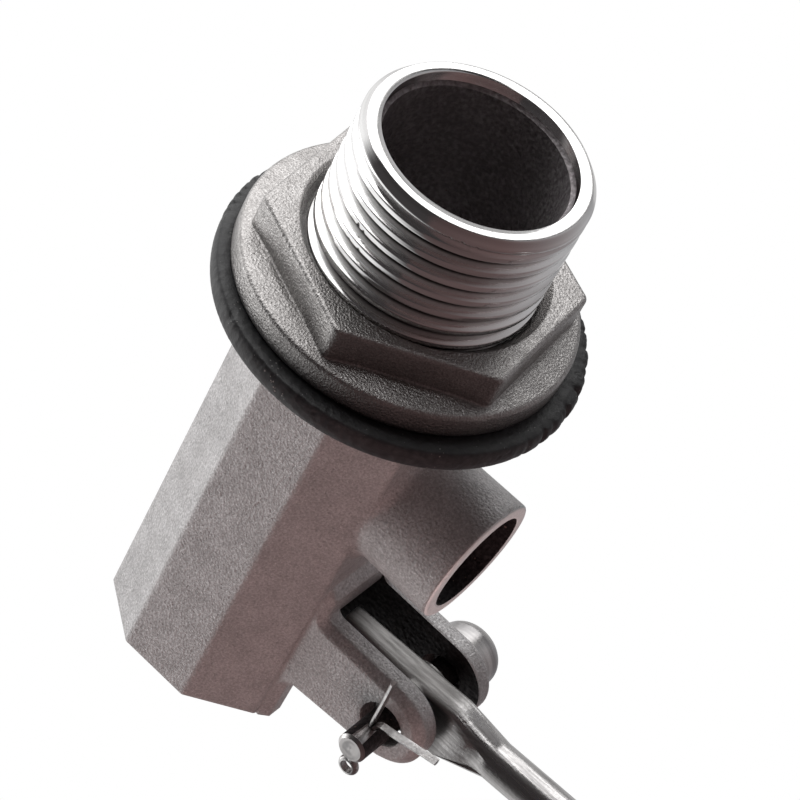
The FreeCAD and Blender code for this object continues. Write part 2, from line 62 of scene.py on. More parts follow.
# Camera, solved from the ellipses of the bore, the end face, the nut's flange and the spout
CAMERA_PLACE = Vector((-0.187464, 0.191242, -0.066067))
CAMERA_RIGHT = Vector((-0.3568325, -0.5951708, -0.7200294))
CAMERA_UP = Vector((-0.6228644, -0.4228527, 0.6582063))
CAMERA_BACK = Vector((-0.6962115, 0.6833501, -0.2198231))
CAMERA_LENS = 144.0
CAMERA_SENSOR = 36.0
VIEW_CENTRE = Vector((0.0105, -0.0031, -0.0035))

# Inlet thread, G 1/2
THREAD_MAJOR = 10.4775 * MM
THREAD_PITCH = 1.8143 * MM
THREAD_DEPTH = 1.05 * MM
THREAD_START = 0.675
THREAD_STOP = -6.5 * MM

# Half of a groove's section: twice the distance from its middle in pitches, share of its depth
GROOVE = np.array([
    (0.0, 1.0), (0.06, 0.985), (0.12, 0.93), (0.18, 0.85), (0.42, 0.48), (0.66, 0.10),
    (0.69, 0.045), (0.72, 0.012), (0.75, 0.0), (0.88, 0.0), (1.0, 0.0)])

# Inlet shank: its end, lead cone and bore
SHANK_END = -20.65 * MM
SHANK_END_R = 9.9 * MM
SHANK_CHAMFER = 0.75 * MM
LEAD_LENGTH = 1.0 * MM
LEAD_RUN_OUT = 0.7 * MM
LEAD_RINGS = (0.9, 0.78, 0.72, 0.6, 0.4, 0.2, 0.03)
HELIX_MARGIN = 0.2 * MM
CORNER_BREAK = 0.06 * MM
MOUTH_R = 8.77 * MM
MOUTH_DEPTH = 0.95 * MM
MOUTH_TAPER = 0.02 * MM
MOUTH_SLOPE = 0.3 * MM
BORE_R = 8.39 * MM
BORE_END = -1.2 * MM
SLEEVE_WALL_AT_BORE_END = 0.15 * MM
SLEEVE_WALL_AT_STOP = 0.6 * MM

# Chips in the thread's crests: angle in degrees, place along X in millimetres, seed
CHIPS = ((6, -12.7, 5), (14, -14.5, 8), (-32, -19.6, 6), (-70, -14.6, 7))
CHIP_DEPTH = 0.25 * MM
CHIP_WIDTH = 0.22 * MM
CHIP_SPAN = 8

# Core of the casting inside the threaded sleeve
CORE_START = -8.6 * MM
CORE_R = 9.1 * MM
CORE_BORE_R = 8.65 * MM
CORE_END = -19.6 * MM

# Bore of the casting: its wall is nearer the axis and higher than these
BORE_WALL_R = 8.8 * MM
BORE_WALL_LOW = -8.4 * MM

# Spout
SPOUT_X = 15.95 * MM
SPOUT_BORE_R = 4.6 * MM
SPOUT_END = -18.2 * MM
SPOUT_FLARE = 0.15
SPOUT_TOP = -7.0 * MM
SPOUT_EDGE = 0.01 * MM
SPOUT_RIM_R = 7.0 * MM
SPOUT_RIM_HEIGHT = 0.3 * MM

# Slot between the clevis ears
SLOT_HALF_WIDTH = 3.35 * MM
SLOT_START = 24.5 * MM
SLOT_TOP = -5.0 * MM
RAMP_TOP = -9.0 * MM

# Clevis pin
PIN = Vector((34.3 * MM, 0.0, -20.2 * MM))
PIN_SEAT = -7.3 * MM
PIN_HEAD_HEIGHT = 2.3 * MM
PIN_HEAD_R = 3.4 * MM
PIN_HEAD_CLOSER = 1.3 * MM
PIN_DOME_POWER = 2.4
PIN_DOME_START = 0.01
EAR_OUTER_Y = 5.9 * MM

# Rubber washer
WASHER_THICKNESS = 2.3 * MM
WASHER_R = 17.2 * MM
WASHER_BORE_R = 10.65 * MM
WASHER_BULGE = 0.42 * MM
WASHER_EDGE_BREAK = 0.25 * MM
WASHER_RIM_MARGIN = 0.08 * MM
WASHER_FIRM_R = 14.8 * MM
WASHER_RAGGED_WIDTH = 2.0 * MM
WASHER_LIFT = 0.05 * MM
WASHER_SAG = 0.4 * MM
WASHER_SAG_ANGLE = math.radians(260)

# Torn spans of the washer's rim: middle and width in degrees, strength
TORN = ((77, 5, 0.7), (85, 3, 0.7), (70, 3, 0.3), (96, 4, 0.3), (224, 4, 0.5), (234, 5, 0.7),
        (243, 4, 0.6), (252, 5, 0.7), (263, 7, 0.55), (276, 5, 0.3))

# Lever and rod
LEVER_LEAN = math.radians(4.0)
LEVER_AXIS = Vector((-math.sin(LEVER_LEAN), 0.0, -math.cos(LEVER_LEAN)))
HEAD_GROWTH = 1.2
ROD_R = 2.0 * MM
ROD_THREAD_START = 155.5 * MM
ROD_THREAD_END = 165.2 * MM
ROD_THREAD_PITCH = 0.7 * MM
ROD_THREAD_DEPTH = 0.2 * MM
ROD_THREAD_RISE = 0.24 * MM
ROD_THREAD_LEAD = 1.0 * MM
ROD_SLEEVE_SINK = 0.3 * MM

# Forged head of the lever, in millimetres along the lever from the pin
HEAD_TOP = -11
HEAD_BOTTOM = 8
HEAD_FADE = 4

# Float: its middle is this far along the lever from the pin
BALL_CENTRE = 215.7 * MM
BALL_R = 40.0 * MM
BOSS_R = 5.5 * MM

# Studio: half the floor's side, the floor's own light where it is seen or mirrored, and the
# room's strength for rays that only bring light (where it is seen or mirrored it is 1)
FLOOR_HALF = 1.6
FLOOR_GLOW = 0.45
ROOM_GLOW = 0.6

# Colours
WHITE = (1, 1, 1, 1)
RUBBED_STEEL = (0.80, 0.78, 0.76, 1)
# Near white of the painted glints
PAINTED_GLINT = (0.95, 0.94, 0.93, 1)
# Painted shade deep in the thread's grooves
PAINTED_GROOVE_SHADE = (0.07, 0.065, 0.065, 1)
WARM_GRAIN = (0.22, 0.17, 0.15, 1)
PALE_GRIT = (0.30, 0.29, 0.28, 1)
FORGING_SCALE = (0.12, 0.115, 0.11, 1)


# Meshes

def full_turn(count):
    """Evenly spaced angles round one turn."""
    return np.linspace(0, 2 * np.pi, count, endpoint=False)


def degrees_off(angle, middle):
    """Degrees from a middle angle, between -180 and 180."""
    return (np.degrees(angle) - middle + 180) % 360 - 180


def wave_sum(angle, seed, lowest, highest, fall=1.0):
    """Sum of cosines of the angle with random phase, each divided by its count to the fall."""
    rng = np.random.default_rng(seed)
    counts = np.arange(lowest, highest + 1)
    phases = rng.uniform(0, 2 * np.pi, len(counts))
    weights = counts ** -float(fall)
    total = (np.cos(np.outer(angle, counts) + phases) * weights).sum(1)
    return total / np.abs(total).max()


def ring_faces(around, along):
    """Quads of a grid that closes on itself both ways, one row of points for each step around."""
    i, j = np.meshgrid(np.arange(around), np.arange(along), indexing="ij")
    i_next, j_next = (i + 1) % around, (j + 1) % along
    corners = (i * along + j, i_next * along + j, i_next * along + j_next, i * along + j_next)
    return np.stack([c.ravel() for c in corners], 1)


def ring_points(angle, axial, radius, origin=(0, 0, 0), axis=(1, 0, 0)):
    """Points at origin + axis * axial + radius * (u cos(angle) + v sin(angle)), u x v = axis."""
    axis = np.array(axis, float)
    helper = np.array((0.0, 1.0, 0.0))
    v = np.cross(axis, helper)
    v /= np.linalg.norm(v)
    u = np.cross(v, axis)
    radial = np.cos(angle)[:, None, None] * u + np.sin(angle)[:, None, None] * v
    points = np.array(origin, float) + axial[..., None] * axis + radius[..., None] * radial
    return points.reshape(-1, 3)


def shade_smooth(mesh, sharp):
    """Smooth faces with sharp edges where they meet at more than the given degrees."""
    mesh.polygons.foreach_set("use_smooth", np.ones(len(mesh.polygons), bool))
    mesh.set_sharp_from_angle(angle=math.radians(sharp))


def choose_finish(mesh, index):
    """Gives each face the material of its index."""
    mesh.polygons.foreach_set("material_index", index.astype(np.int32))


def mesh_piece(name, points, faces, body, finishes, face_finish=None, sharp=40.0):
    """Puts worked-out points and faces in a new mesh whose object stays at the origin."""
    mesh = bpy.data.meshes.new(name)
    mesh.from_pydata(points.tolist(), [], faces.tolist())
    mesh.update()
    shade_smooth(mesh, sharp)
    for finish in finishes:
        mesh.materials.append(finish)
    if face_finish is not None:
        choose_finish(mesh, face_finish)
    piece = bpy.data.objects.new(name, mesh)
    bpy.context.scene.collection.objects.link(piece)
    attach(piece, body)
    return piece


def merge(mesh):
    """Joins points that lie on each other, which also takes out the faces without area."""
    work = bmesh.new()
    work.from_mesh(mesh)
    bmesh.ops.remove_doubles(work, verts=work.verts, dist=1e-6)
    work.to_mesh(mesh)
    work.free()


def copy_of(node, name):
    """Merged copy of a CAD node's mesh, and its points as an array."""
    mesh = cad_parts[node].data.copy()
    mesh.name = name
    merge(mesh)
    if "custom_normal" in mesh.attributes:
        mesh.attributes.remove(mesh.attributes["custom_normal"])
    points = np.empty(len(mesh.vertices) * 3)
    mesh.vertices.foreach_get("co", points)
    return mesh, points.reshape(-1, 3)


def place_copy(mesh, points, node, body, finishes, sharp):
    """Writes the points back and puts the mesh in the scene in the node's stead."""
    mesh.vertices.foreach_set("co", points.ravel())
    shade_smooth(mesh, sharp)
    mesh.materials.clear()
    for finish in finishes:
        mesh.materials.append(finish)
    piece = bpy.data.objects.new(mesh.name, mesh)
    bpy.context.scene.collection.objects.link(piece)
    even = piece.modifiers.new("even_shading", "WEIGHTED_NORMAL")
    even.keep_sharp = True
    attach(piece, body)
    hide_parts(node)


def of_faces(mesh, what):
    """The centre or the normal of each face, one row for each."""
    values = np.empty(len(mesh.polygons) * 3)
    mesh.polygons.foreach_get(what, values)
    return values.reshape(-1, 3)


def thread_radius(angle, axial, major, pitch, depth, start=0.0):
    """Major radius less a groove that climbs one pitch a turn.

    The groove's depth is read from GROOVE at twice the distance from its middle, in pitches."""
    turns = axial / pitch - angle[:, None] / (2 * np.pi) + start
    off_groove = np.abs(turns - np.round(turns)) * 2
    return major - depth * np.interp(off_groove, GROOVE[:, 0], GROOVE[:, 1])


def helix_lines():
    """Places along X, at angle 0, of the lines that follow the groove; how many to a pitch."""
    half = GROOVE[:, 0] / 2
    phase = np.concatenate([-half[:0:-1], half[:-1]])
    top = THREAD_STOP + HELIX_MARGIN
    low = SHANK_END + LEAD_LENGTH - THREAD_PITCH - HELIX_MARGIN
    highest = math.ceil(top / THREAD_PITCH + THREAD_START)
    lowest = math.floor(low / THREAD_PITCH + THREAD_START)
    pitches = np.arange(highest, lowest - 1, -1)
    line = ((pitches[:, None] - THREAD_START - phase[None, :]) * THREAD_PITCH).ravel()
    return line, len(phase)


def shank_radius(angle, outside):
    """Outside radius of the shank: thread that runs out to the lead cone, less the chips."""
    radius = thread_radius(angle, outside, THREAD_MAJOR, THREAD_PITCH, THREAD_DEPTH, THREAD_START)
    from_end = outside - SHANK_END
    run_out = np.clip((from_end - LEAD_LENGTH) / LEAD_RUN_OUT, 0, 1)
    radius = THREAD_MAJOR - (THREAD_MAJOR - radius) * run_out
    cone = SHANK_END_R + from_end * (THREAD_MAJOR - SHANK_END_R) / SHANK_CHAMFER
    radius = np.minimum(radius, cone)
    for chip_angle, chip_x, seed in CHIPS:
        rough = np.clip(wave_sum(angle, seed, 60, 200, 0.1) * 3 - 0.6, 0, 1)
        bite = np.exp(-(degrees_off(angle, chip_angle) / CHIP_SPAN) ** 2) * rough
        across = np.exp(-((outside - chip_x * MM) / CHIP_WIDTH) ** 2)
        radius -= CHIP_DEPTH * bite[:, None] * across
    return radius


def inlet_shank(turned, bore, faced):
    """Threaded shank as one closed sleeve: thread outside, faced end, plain bore inside.

    Lines of points follow the groove's edges round and up, axial = line + pitch * angle / turn,
    held between the two ends of the thread, so line j meets line j - lines per pitch at the
    seam. Rings for the lead cone and a list of corners for the inside close the section."""
    around = 360
    angle = full_turn(around)
    line, per_pitch = helix_lines()
    climb = THREAD_PITCH * angle[:, None] / (2 * np.pi)
    helix = np.clip(line[None, :] + climb, SHANK_END + LEAD_LENGTH, THREAD_STOP)
    cone_rings = np.array(LEAD_RINGS) * MM + SHANK_END
    outside = np.concatenate([helix, np.broadcast_to(cone_rings, (around, len(cone_rings)))], 1)
    radius = shank_radius(angle, outside)

    end_face = [
        (SHANK_END, SHANK_END_R - CORNER_BREAK),
        (SHANK_END, MOUTH_R + CORNER_BREAK),
        (SHANK_END + CORNER_BREAK, MOUTH_R)]
    inside = [
        (SHANK_END + MOUTH_DEPTH, MOUTH_R - MOUTH_TAPER),
        (SHANK_END + MOUTH_DEPTH + MOUTH_SLOPE, BORE_R),
        (BORE_END, BORE_R),
        (BORE_END, BORE_R + SLEEVE_WALL_AT_BORE_END),
        (THREAD_STOP, BORE_R + SLEEVE_WALL_AT_STOP)]
    corners = np.array(end_face + inside)
    axial = np.concatenate([outside, np.broadcast_to(corners[:, 0], (around, len(corners)))], 1)
    inner = np.broadcast_to(corners[:, 1], (around, len(corners)))
    points = ring_points(angle, axial, np.concatenate([radius, inner], 1))

    along = axial.shape[1]
    faces = ring_faces(around, along)
    step = faces[:, 0] % along
    last_line = len(line) - 1
    seam = (faces[:, 0] // along == around - 1) & (step < last_line)
    faces[seam, 1] = np.maximum(step[seam] - per_pitch, 0)
    faces[seam, 2] = np.maximum(step[seam] + 1 - per_pitch, 0)

    # Finish 0 is the thread, 1 the bore, darker for painted shade, 2 the lead cone and the end face
    first_inside = outside.shape[1] + len(end_face)
    index = np.where(step >= first_inside, 1, np.where(step >= last_line, 2, 0))
    finishes = [turned, bore, faced]
    piece = mesh_piece("inlet_thread", points, faces, "valve", finishes, index, 50.0)
    merge(piece.data)


def draw_in_shank(points):
    """Draws the casting's plain shank in to a core inside the threaded sleeve."""
    radius = np.hypot(points[:, 1], points[:, 2])
    shank = points[:, 0] < CORE_START
    held = np.clip(radius, CORE_BORE_R, CORE_R)
    scale = np.where(shank, held / np.maximum(radius, 1e-9), 1.0)
    points[:, 1:] *= scale[:, None]
    points[shank, 0] = np.maximum(points[shank, 0], CORE_END)


def casting(skin, bore_shade_finish, slot_shade_finish, rim_highlight_finish):
    """The body casting: the CAD solid with its plain shank drawn in and the spout's mouth opened
    a little. The faces in the bore, the spout and the slot are darker, painted shade, and the
    spout's rim is nearly white, a painted highlight."""
    mesh, points = copy_of("valve_body", "body_casting")
    draw_in_shank(points)
    from_spout = points[:, :2] - (SPOUT_X, 0.0)
    at_end = np.abs(points[:, 2] - SPOUT_END) < SAME_PLACE
    mouth = at_end & (np.hypot(*from_spout.T) < SPOUT_BORE_R)
    points[mouth, :2] += from_spout[mouth] * SPOUT_FLARE
    finishes = [skin, bore_shade_finish, slot_shade_finish, rim_highlight_finish]
    place_copy(mesh, points, "valve_body", "valve", finishes, 32)

    centres = of_faces(mesh, "center")
    normals = of_faces(mesh, "normal")
    height = centres[:, 2]
    inward = (centres[:, 1:] * normals[:, 1:]).sum(1) < 0
    bore = inward & (np.hypot(centres[:, 1], height) < BORE_WALL_R) & (height > BORE_WALL_LOW)

    from_spout = centres[:, :2] - (SPOUT_X, 0.0)
    spout_radius = np.hypot(*from_spout.T)
    spout_bore = spout_radius < SPOUT_BORE_R * (1 + SPOUT_FLARE)
    spout_bore &= (from_spout * normals[:, :2]).sum(1) < 0
    spout_bore &= (height < SPOUT_TOP) & (height > SPOUT_END + SPOUT_EDGE)
    faces_down = normals[:, 2] < -0.4
    # The spout's end face, which takes a painted highlight
    rim = faces_down & (height < SPOUT_END + SPOUT_RIM_HEIGHT) & (spout_radius < SPOUT_RIM_R)

    slot = np.abs(centres[:, 1]) < SLOT_HALF_WIDTH + SAME_PLACE
    slot &= centres[:, 1] * normals[:, 1] <= 0
    ear_wall = np.abs(normals[:, 1]) > 0.5
    end_wall = normals[:, 0] > 0.5
    slot &= ear_wall | end_wall | (height > RAMP_TOP)
    slot &= (height < SLOT_TOP) & (centres[:, 0] > SLOT_START)

    # Finish 0 is the skin, 1 the bore and 2 the slot and the spout's inside in painted shade, 3 the
    # rim in a painted highlight
    choose_finish(mesh, np.where(slot | spout_bore, 2, np.where(rim, 3, bore)))


def lever_forging(finish):
    """The lever with its flat head forged towards the near ear: +Y faces go out by HEAD_GROWTH,
    fading to nothing along the rod and towards the finger."""
    mesh, points = copy_of("float_lever", "lever_forging")
    along = (points - np.array(PIN)) @ np.array(LEVER_AXIS)
    rise = np.clip((along / MM - HEAD_TOP) / HEAD_FADE, 0, 1)
    fall = np.clip((HEAD_BOTTOM - along / MM) / HEAD_FADE, 0, 1)
    share = rise * rise * (3 - 2 * rise) * fall
    points[:, 1] += np.clip(points[:, 1], 0, None) * share * HEAD_GROWTH
    place_copy(mesh, points, "float_lever", "lever", [finish], 40)


def headed_pin(finish, shank_shade_finish):
    """The pin with a full, round-shouldered head that sits close to the far ear. Between the
    ears its shank takes the second finish, painted shade.

    At a share t of the head's height the radius is that of a superellipse, (1 - t^p)^(1/p)."""
    mesh, points = copy_of("clevis_pin", "headed_pin")
    drop = (PIN_SEAT - points[:, 1]) / PIN_HEAD_HEIGHT
    offset = points[:, [0, 2]] - (PIN.x, PIN.z)
    radius = np.hypot(*offset.T)
    dome = drop > PIN_DOME_START
    remaining = np.clip(1 - np.clip(drop, 0, 1) ** PIN_DOME_POWER, 0, 1)
    full = PIN_HEAD_R * remaining ** (1 / PIN_DOME_POWER)
    grown = np.where(dome & (radius > 1e-6), full / np.maximum(radius, 1e-9), 1.0)
    points[:, 0] = PIN.x + offset[:, 0] * grown
    points[:, 2] = PIN.z + offset[:, 1] * grown
    points[np.abs(drop) <= PIN_DOME_START, 1] += PIN_HEAD_CLOSER
    place_copy(mesh, points, "clevis_pin", "valve", [finish, shank_shade_finish], 40)
    # Painted shade: the shank's faces between the ears take the near-black second finish
    choose_finish(mesh, np.abs(of_faces(mesh, "center")[:, 1]) < EAR_OUTER_Y)


def torn_edge(angle):
    """How far the washer's rim stands out at each angle.

    A low wave, less fine roughness that is strong only in a few spans of angle, and less sharp
    bites there. The whole rim hangs WASHER_SAG low on the thread."""
    ragged = np.zeros(len(angle))
    for middle, width, strength in TORN:
        ragged += strength * np.exp(-(degrees_off(angle, middle) / width) ** 2)
    bites = np.clip(wave_sum(angle, 11, 33, 110, 0.4) * 1.7 - 0.2, -0.3, 1)
    rough = wave_sum(angle, 12, 60, 300, 0.2)
    torn = ragged * (0.75 * bites + 0.10 * (1 + rough))
    edge = 0.10 * wave_sum(angle, 3, 2, 7) + 0.015 * rough - torn
    return edge * MM + WASHER_SAG * np.cos(angle - WASHER_SAG_ANGLE)


def rubber_washer(rubber):
    """Washer section turned about X, bulged at the rim, with a ragged, torn outer edge."""
    around = 720
    angle = full_turn(around)
    half = WASHER_THICKNESS / 2
    turn = np.radians(np.linspace(90, -90, 15))
    rim_axial = -half - (half - WASHER_RIM_MARGIN) * np.sin(turn)
    rim_radial = WASHER_R - WASHER_BULGE + WASHER_BULGE * np.cos(turn)
    face_r = WASHER_R - WASHER_BULGE - WASHER_EDGE_BREAK
    top = np.array([(-WASHER_THICKNESS, r) for r in np.linspace(WASHER_BORE_R, face_r, 10)])
    under = np.array([(0.0, r) for r in np.linspace(face_r, WASHER_BORE_R, 4)])
    section = np.concatenate([top, np.stack([rim_axial, rim_radial], 1), under])
    share = np.clip((section[:, 1] - WASHER_FIRM_R) / WASHER_RAGGED_WIDTH, 0, 1) ** 1.5
    radius = section[None, :, 1] + torn_edge(angle)[:, None] * share[None, :]
    lift = WASHER_LIFT * wave_sum(angle, 9, 3, 40, 0.6)[:, None] * share[None, :]
    axial = section[None, :, 0] + lift * (section[None, :, 0] < -half)
    points = ring_points(angle, axial, radius)
    faces = ring_faces(around, len(section))[:, ::-1]
    piece = mesh_piece("rubber_washer", points, faces, "valve", [rubber], sharp=50.0)
    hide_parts("wall_washer")


def bead(name, distance, ring_r, width, height, ripples, finish, tilt=0.0):
    """Weld bead round the lever's axis: a flat half-round section with ripples along it.

    The crest stands height over ring_r and swells by 0.22 sin(ripples * angle) and a random
    wave of 0.12. Distance is along the lever from the pin, tilt turns the section."""
    around = 900
    angle = full_turn(around)
    turn = full_turn(14)
    swell = 1 + 0.22 * np.sin(ripples * angle) + 0.12 * wave_sum(angle, 21, 3, 30, 0.4)
    out = np.cos(turn)[None, :] * height * np.where(np.cos(turn) > 0, swell[:, None], 1.0)
    along = np.sin(turn)[None, :] * width / 2 * np.ones((around, 1))
    radius = ring_r + out * math.cos(tilt) - along * math.sin(tilt)
    axial = along * math.cos(tilt) + out * math.sin(tilt)
    points = ring_points(angle, axial, radius, PIN + LEVER_AXIS * distance, LEVER_AXIS)
    faces = ring_faces(around, len(turn))[:, ::-1]
    mesh_piece(name, points, faces, "lever", [finish])


def rod_thread(finish):
    """Rolled thread that stands proud of the rod above the lock nut, as one closed sleeve."""
    around = 96
    angle = full_turn(around)
    outside = np.arange(ROD_THREAD_START, ROD_THREAD_END, ROD_THREAD_PITCH / 12)
    crest = ROD_R + ROD_THREAD_RISE
    radius = thread_radius(angle, outside[None, :], crest, ROD_THREAD_PITCH, ROD_THREAD_DEPTH)
    lead = np.clip((outside - ROD_THREAD_START) / ROD_THREAD_LEAD, 0, 1)[None, :]
    radius = ROD_R + (radius - ROD_R) * (0.1 + 0.9 * lead)
    back_r = ROD_R - ROD_SLEEVE_SINK
    back = np.array([(ROD_THREAD_END, back_r), (ROD_THREAD_START, back_r)])
    section = np.concatenate([outside, back[:, 0]])
    axial = np.broadcast_to(section, (around, len(section)))
    radius = np.concatenate([radius, np.broadcast_to(back[:, 1], (around, len(back)))], 1)
    points = ring_points(angle, axial, radius, PIN, LEVER_AXIS)
    faces = ring_faces(around, len(section))[:, ::-1]
    mesh_piece("rod_thread", points, faces, "lever", [finish])


# Shader nodes

class Net:
    """Adds shader nodes to a tree. An input is given as a number, a tuple or a socket."""

    def __init__(self, tree):
        self.tree = tree

    def feed(self, socket, value):
        if isinstance(value, bpy.types.NodeSocket):
            self.tree.links.new(value, socket)
        else:
            socket.default_value = value

    def add(self, kind, settings=None, **inputs):
        node = self.tree.nodes.new(kind)
        for key, value in (settings or {}).items():
            setattr(node, key, value)
        for key, value in inputs.items():
            self.feed(node.inputs[key.replace("_", " ")], value)
        return node

    def math(self, operation, first, second=0.0):
        node = self.add("ShaderNodeMath", {"operation": operation})
        self.feed(node.inputs[0], first)
        self.feed(node.inputs[1], second)
        return node.outputs[0]

    def plus(self, first, second):
        return self.math("ADD", first, second)

    def minus(self, first, second):
        return self.math("SUBTRACT", first, second)

    def times(self, first, second):
        return self.math("MULTIPLY", first, second)

    def dot(self, first, second):
        node = self.add("ShaderNodeVectorMath", {"operation": "DOT_PRODUCT"})
        self.feed(node.inputs[0], first)
        self.feed(node.inputs[1], second)
        return node.outputs["Value"]

    def split(self, vector):
        return self.add("ShaderNodeSeparateXYZ", Vector=vector).outputs

    def noise(self, vector, scale, detail=2.0, roughness=0.5):
        return self.add("ShaderNodeTexNoise", Vector=vector, Scale=scale, Detail=detail,
                        Roughness=roughness).outputs["Fac"]

    def cells(self, vector, scale):
        return self.add("ShaderNodeTexVoronoi", Vector=vector, Scale=scale).outputs["Distance"]

    def band(self, value, low, high, out_low=0.0, out_high=1.0):
        """Smooth step from out_low at low to out_high at high."""
        node = self.add("ShaderNodeMapRange", {"interpolation_type": "SMOOTHSTEP"})
        for socket, number in zip(node.inputs, (value, low, high, out_low, out_high)):
            self.feed(socket, number)
        return node.outputs[0]

    def mix(self, share, first, second):
        node = self.add("ShaderNodeMix", {"data_type": "RGBA"})
        self.feed(node.inputs[0], share)
        self.feed(node.inputs[6], first)
        self.feed(node.inputs[7], second)
        return node.outputs[2]

    def rays(self):
        """The light path, and a mask of the rays that are seen, mirrored or let through."""
        rays = self.add("ShaderNodeLightPath").outputs
        seen = self.math("MAXIMUM", rays["Is Camera Ray"], rays["Is Glossy Ray"])
        return rays, self.math("MAXIMUM", seen, rays["Is Transmission Ray"])


def new_group(name, inputs, outputs):
    """Node group with named float or vector sockets; returns its net, input and output nodes."""
    tree = bpy.data.node_groups.new(name, "ShaderNodeTree")
    kinds = {"f": "NodeSocketFloat", "v": "NodeSocketVector"}
    for label, kind, value in inputs:
        socket = tree.interface.new_socket(label, in_out="INPUT", socket_type=kinds[kind])
        if value is not None:
            socket.default_value = value
    for label, kind in outputs:
        tree.interface.new_socket(label, in_out="OUTPUT", socket_type=kinds[kind])
    given = tree.nodes.new("NodeGroupInput").outputs
    out = tree.nodes.new("NodeGroupOutput").inputs
    return Net(tree), given, out


def cast_skin_group():
    """Cast or blasted skin: fine grains, rarer pits and slow unevenness, by Object coordinates.
    Sparkle is a mask of small spots for painted glints.
    """
    net, given, out = new_group(
        "cast_skin",
        [("Vector", "v", None), ("Grain Size", "f", 0.4 * MM), ("Pits", "f", 0.5)],
        [("Height", "f"), ("Tone", "f"), ("Sparkle", "f")])
    place = given["Vector"]
    scale = net.math("DIVIDE", 1.0, given["Grain Size"])
    grain = net.noise(place, scale, 3.0, 0.62)
    cells = net.cells(place, net.times(scale, 0.8))
    slow = net.noise(place, net.times(scale, 0.09))
    pit_field = net.noise(place, net.times(scale, 0.42), 1.0, 0.4)
    pits = net.times(net.band(pit_field, 0.68, 0.78), given["Pits"])
    bumps = net.plus(net.times(grain, 0.6), net.times(cells, 0.5))
    net.feed(out["Height"], net.minus(net.plus(bumps, net.times(slow, 0.4)), pits))
    tone = net.plus(net.times(grain, 0.75), net.times(slow, 0.25))
    net.feed(out["Tone"], net.minus(tone, net.times(pits, 0.35)))
    # Painted glints: a mask of small spots that are drawn towards near white
    glint = net.noise(place, net.times(scale, 1.9), 1.0)
    net.feed(out["Sparkle"], net.band(glint, 0.62, 0.72))
    return net.tree


def tool_marks_group():
    """Turning marks: fine rings about the X axis of the given vector, broken up along the turn."""
    net, given, out = new_group(
        "tool_marks",
        [("Vector", "v", None), ("Ring Width", "f", 0.12 * MM)],
        [("Height", "f"), ("Tone", "f"), ("Radius", "f")])
    x, y, z = net.split(given["Vector"])
    radius = net.math("SQRT", net.plus(net.math("POWER", y, 2.0), net.math("POWER", z, 2.0)))
    turn = net.times(net.math("ARCTAN2", z, y), 0.35 * MM)
    rings = net.add("ShaderNodeCombineXYZ", X=x, Y=radius, Z=turn).outputs[0]
    scale = net.math("DIVIDE", 1.0, given["Ring Width"])
    fine = net.noise(rings, scale, 2.0, 0.6)
    broad = net.noise(rings, net.times(scale, 0.22), 1.0)
    net.feed(out["Height"], net.plus(net.times(fine, 0.7), net.times(broad, 0.5)))
    net.feed(out["Tone"], broad)
    net.feed(out["Radius"], radius)
    return net.tree


def worn_edge_group():
    """Mask of rounded outer edges, and the normal that rounds them."""
    net, given, out = new_group(
        "worn_edge",
        [("Radius", "f", 0.3 * MM)],
        [("Mask", "f"), ("Normal", "v")])
    rounded = net.add("ShaderNodeBevel", {"samples": 4}, Radius=given["Radius"]).outputs[0]
    agree = net.dot(rounded, net.add("ShaderNodeNewGeometry").outputs["Normal"])
    net.feed(out["Mask"], net.band(agree, 0.995, 0.90))
    net.feed(out["Normal"], rounded)
    return net.tree


def specks_group():
    """Sparse small specks of dust or grit, by Object coordinates."""
    net, given, out = new_group(
        "specks",
        [("Vector", "v", None), ("Size", "f", 0.4 * MM), ("Share", "f", 0.3)],
        [("Mask", "f")])
    scale = net.math("DIVIDE", 1.0, given["Size"])
    dots = net.cells(given["Vector"], scale)
    patches = net.noise(given["Vector"], net.times(scale, 0.16), 2.0, 0.6)
    reach = net.times(net.band(patches, 0.42, 0.7), given["Share"])
    net.feed(out["Mask"], net.math("LESS_THAN", dots, reach))
    return net.tree


GROUPS = {
    "cast_skin": cast_skin_group(),
    "tool_marks": tool_marks_group(),
    "worn_edge": worn_edge_group(),
    "specks": specks_group()}


def use(net, name, **inputs):
    """Places the named group in a material."""
    node = net.tree.nodes.new("ShaderNodeGroup")
    node.node_tree = GROUPS[name]
    for key, value in inputs.items():
        net.feed(node.inputs[key.replace("_", " ")], value)
    return node.outputs


# Finishes

def new_material(name):
    """Material with a plain Principled BSDF; returns it, its net, shader and Object coordinates."""
    material = bpy.data.materials.new(name)
    material.use_nodes = True
    net = Net(material.node_tree)
    shader = material.node_tree.nodes["Principled BSDF"]
    place = net.add("ShaderNodeTexCoord").outputs["Object"]
    return material, net, shader, place


def feed_shader(net, shader, colour, roughness, height, depth, metal=1.0, **normal):
    """Gives the shader its colour, metal and roughness, and a bump of the depth over the height."""
    net.feed(shader.inputs["Base Color"], colour)
    net.feed(shader.inputs["Metallic"], metal)
    net.feed(shader.inputs["Roughness"], roughness)
    bump = net.add("ShaderNodeBump", Height=height, Distance=depth, Strength=1.0, **normal)
    net.feed(shader.inputs["Normal"], bump.outputs[0])


